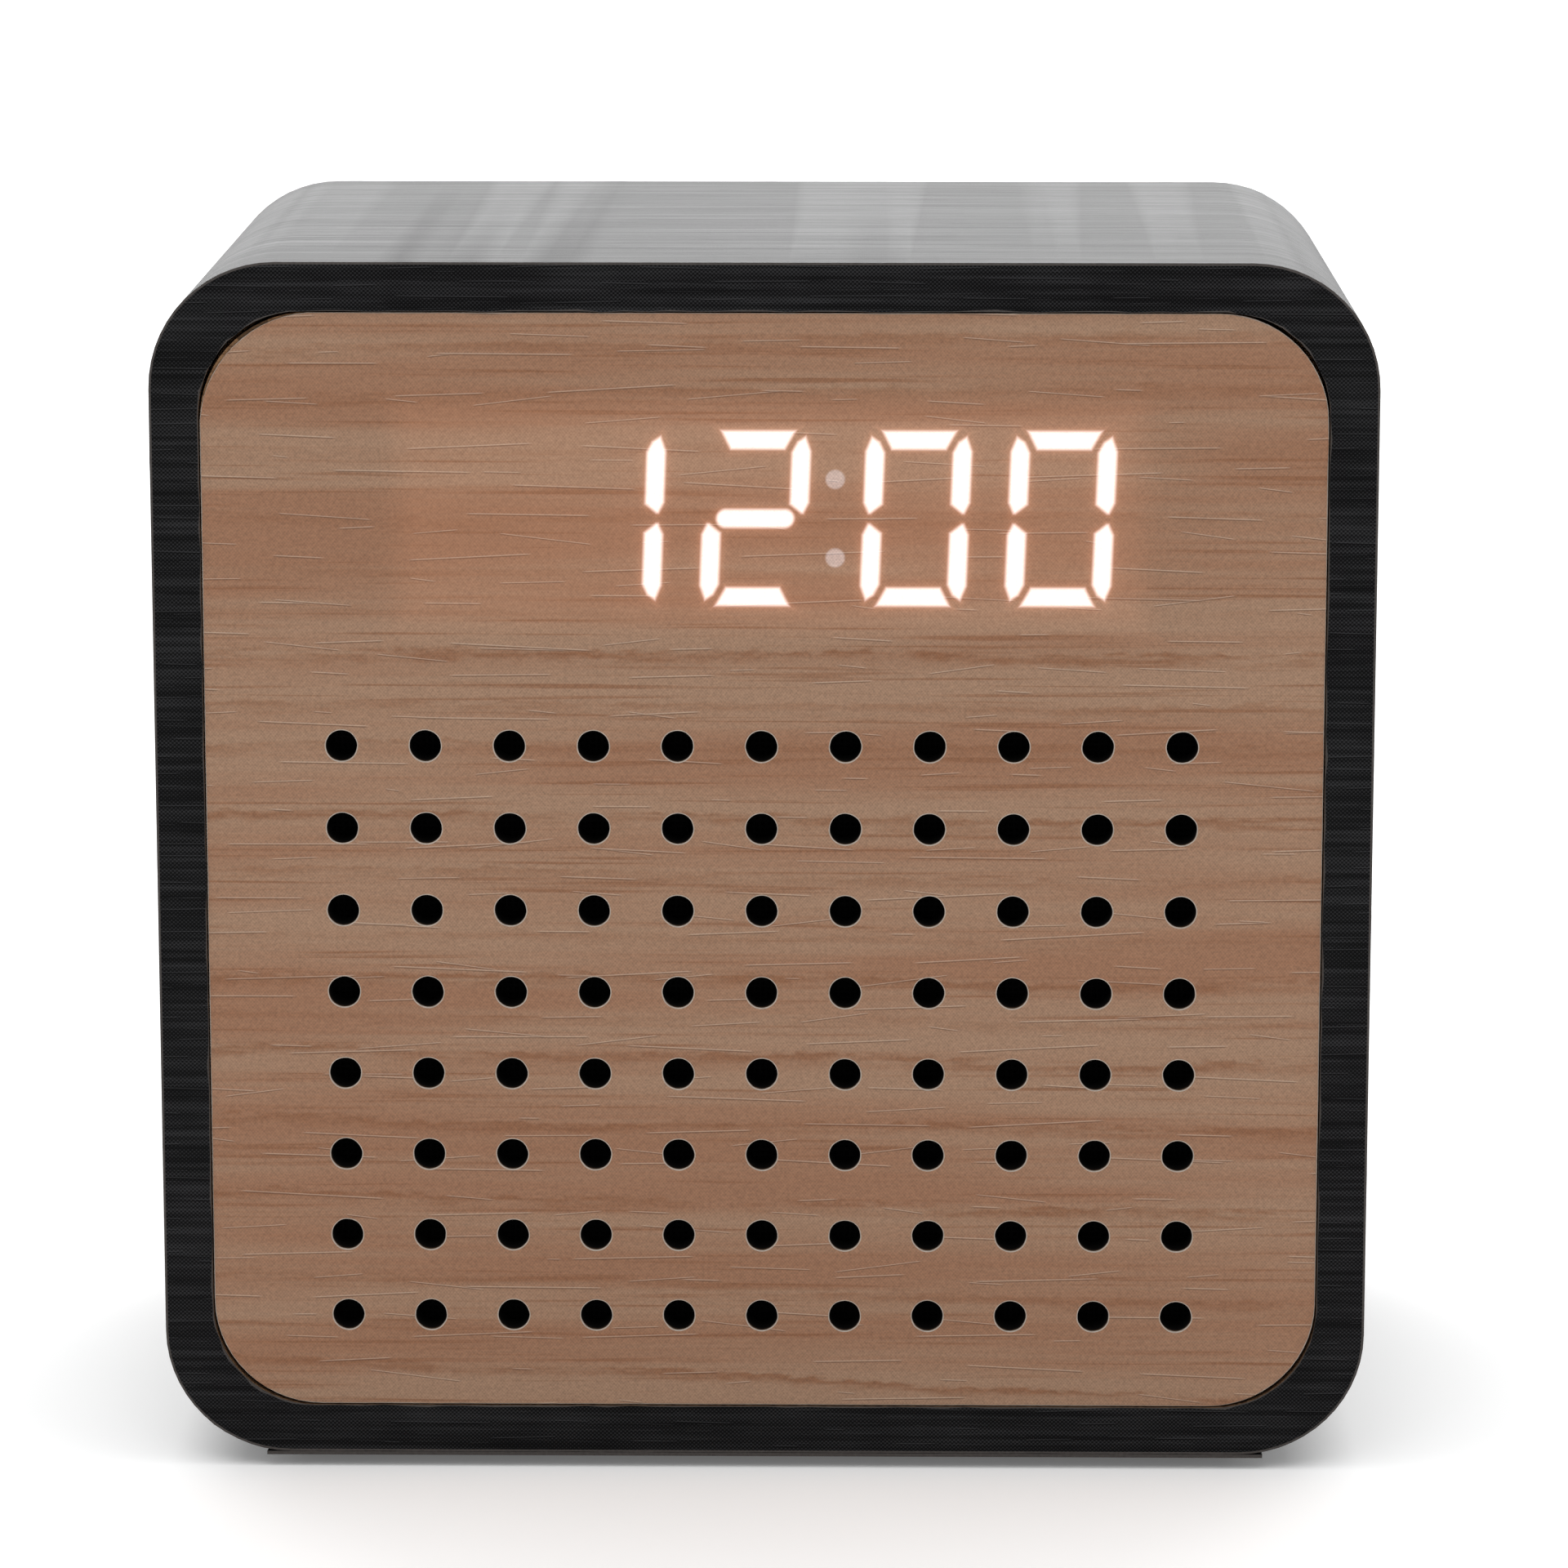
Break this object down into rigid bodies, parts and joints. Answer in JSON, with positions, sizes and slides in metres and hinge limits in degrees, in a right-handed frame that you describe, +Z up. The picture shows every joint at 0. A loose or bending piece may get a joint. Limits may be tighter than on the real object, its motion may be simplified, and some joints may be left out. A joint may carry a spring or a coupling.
{
  "type": "alarm clock",
  "caption": "Rounded cube desk alarm clock: black wood-grain case, maple-grain front with digits glowing through it, drilled speaker grille, rear buttons and battery door.",
  "frame": {"origin": "on the surface that the feet stand on, under the middle of the case", "axes": "+Z up, +X to the right seen from the front, the front with the digits faces -Y"},
  "size_m": [0.1, 0.065, 0.1013],
  "materials": {
    "fibreboard": "raw fibreboard, matte",
    "black_film": "black wood-grain film, fine emboss",
    "maple_film": "printed maple-grain film, satin",
    "rubber": "soft matte",
    "cloth": "thin open black weave",
    "foam": "closed-cell foam",
    "white_plastic": "moulded white plastic",
    "diffuser": "milky resin",
    "circuit_board": "green solder mask",
    "ribbon": "grey ribbon cable",
    "steel": "plated steel",
    "screw_black": "black zinc",
    "painted_steel": "black lacquer",
    "ferrite": "sintered ferrite",
    "paper": "pressed paper pulp",
    "cloth_amber": "resin-dipped cloth",
    "copper": "enamelled copper wire",
    "wire_red": "insulated wire",
    "chip_black": "moulded epoxy",
    "switch_grey": "moulded plastic",
    "black_plastic": "fine spark-eroded texture",
    "button_plastic": "smooth satin",
    "cell_jacket": "printed metal jacket",
    "nickel": "nickel plate"
  },
  "bodies": {
    "case": {"base_strip": "black_film", "battery_cells": "cell_jacket", "battery_leads": "wire_red", "battery_tray": "black_plastic", "case_tube": "fibreboard", "case_wrap_film": "black_film", "colon_dots": "diffuser", "contact_plates": "nickel", "contact_springs": "nickel", "corner_blocks": "fibreboard", "cover_screws": "screw_black", "digit_1": "diffuser", "digit_2": "diffuser", "digit_3": "diffuser", "digit_4": "diffuser", "display_pcb": "circuit_board", "display_reflector": "white_plastic", "display_ribbon": "ribbon", "display_screws": "steel", "feet": "rubber", "front_board": "fibreboard", "front_film": "maple_film", "front_rim_film": "black_film", "indicator_signs": "diffuser", "inlet_shell": "steel", "inlet_tongue": "chip_black", "led_chips": "white_plastic", "magnet": "ferrite", "main_pcb": "circuit_board", "pcb_parts": "chip_black", "pcb_screws": "steel", "push_switches": "switch_grey", "rear_cover": "black_plastic", "rear_rim_film": "black_film", "slide_switch_case": "steel", "speaker_basket": "painted_steel", "speaker_cloth": "cloth", "speaker_gasket": "foam", "speaker_leads": "wire_red", "speaker_screws": "steel", "spider": "cloth_amber", "surround": "rubber", "top_plate": "steel", "yoke": "steel"},
    "button_mode": {"button_mode": "button_plastic"},
    "button_set": {"button_set": "button_plastic"},
    "button_alarm": {"button_alarm": "button_plastic"},
    "button_down": {"button_down": "button_plastic"},
    "button_up": {"button_up": "button_plastic"},
    "slide_knob": {"slide_switch_knob": "black_plastic"},
    "door": {"battery_door": "black_plastic"},
    "speaker_cone": {"cone": "paper", "dust_cap": "paper", "voice_coil": "copper"}
  },
  "joints": [
    {"name": "press_mode", "type": "slide", "parent": "case", "child": "button_mode", "axis": [0, -1, 0], "range_m": [0, 0.0007], "stiffness_N_per_m": 1500},
    {"name": "press_set", "type": "slide", "parent": "case", "child": "button_set", "axis": [0, -1, 0], "range_m": [0, 0.0007], "stiffness_N_per_m": 1500},
    {"name": "press_alarm", "type": "slide", "parent": "case", "child": "button_alarm", "axis": [0, -1, 0], "range_m": [0, 0.0007], "stiffness_N_per_m": 1500},
    {"name": "press_down", "type": "slide", "parent": "case", "child": "button_down", "axis": [0, -1, 0], "range_m": [0, 0.0007], "stiffness_N_per_m": 1500},
    {"name": "press_up", "type": "slide", "parent": "case", "child": "button_up", "axis": [0, -1, 0], "range_m": [0, 0.0007], "stiffness_N_per_m": 1500},
    {"name": "slide_power", "type": "slide", "parent": "case", "child": "slide_knob", "axis": [1, 0, 0], "range_m": [0, 0.003]},
    {"name": "open_door", "type": "hinge", "parent": "case", "child": "door", "pos_m": [0, 0.0315, 0.0143], "axis": [-1, 0, 0], "range_deg": [0, 80]},
    {"name": "cone_travel", "type": "slide", "parent": "case", "child": "speaker_cone", "axis": [0, -1, 0], "range_m": [-0.001, 0.001], "stiffness_N_per_m": 1500, "deforming": ["surround", "spider"]}
  ]
}
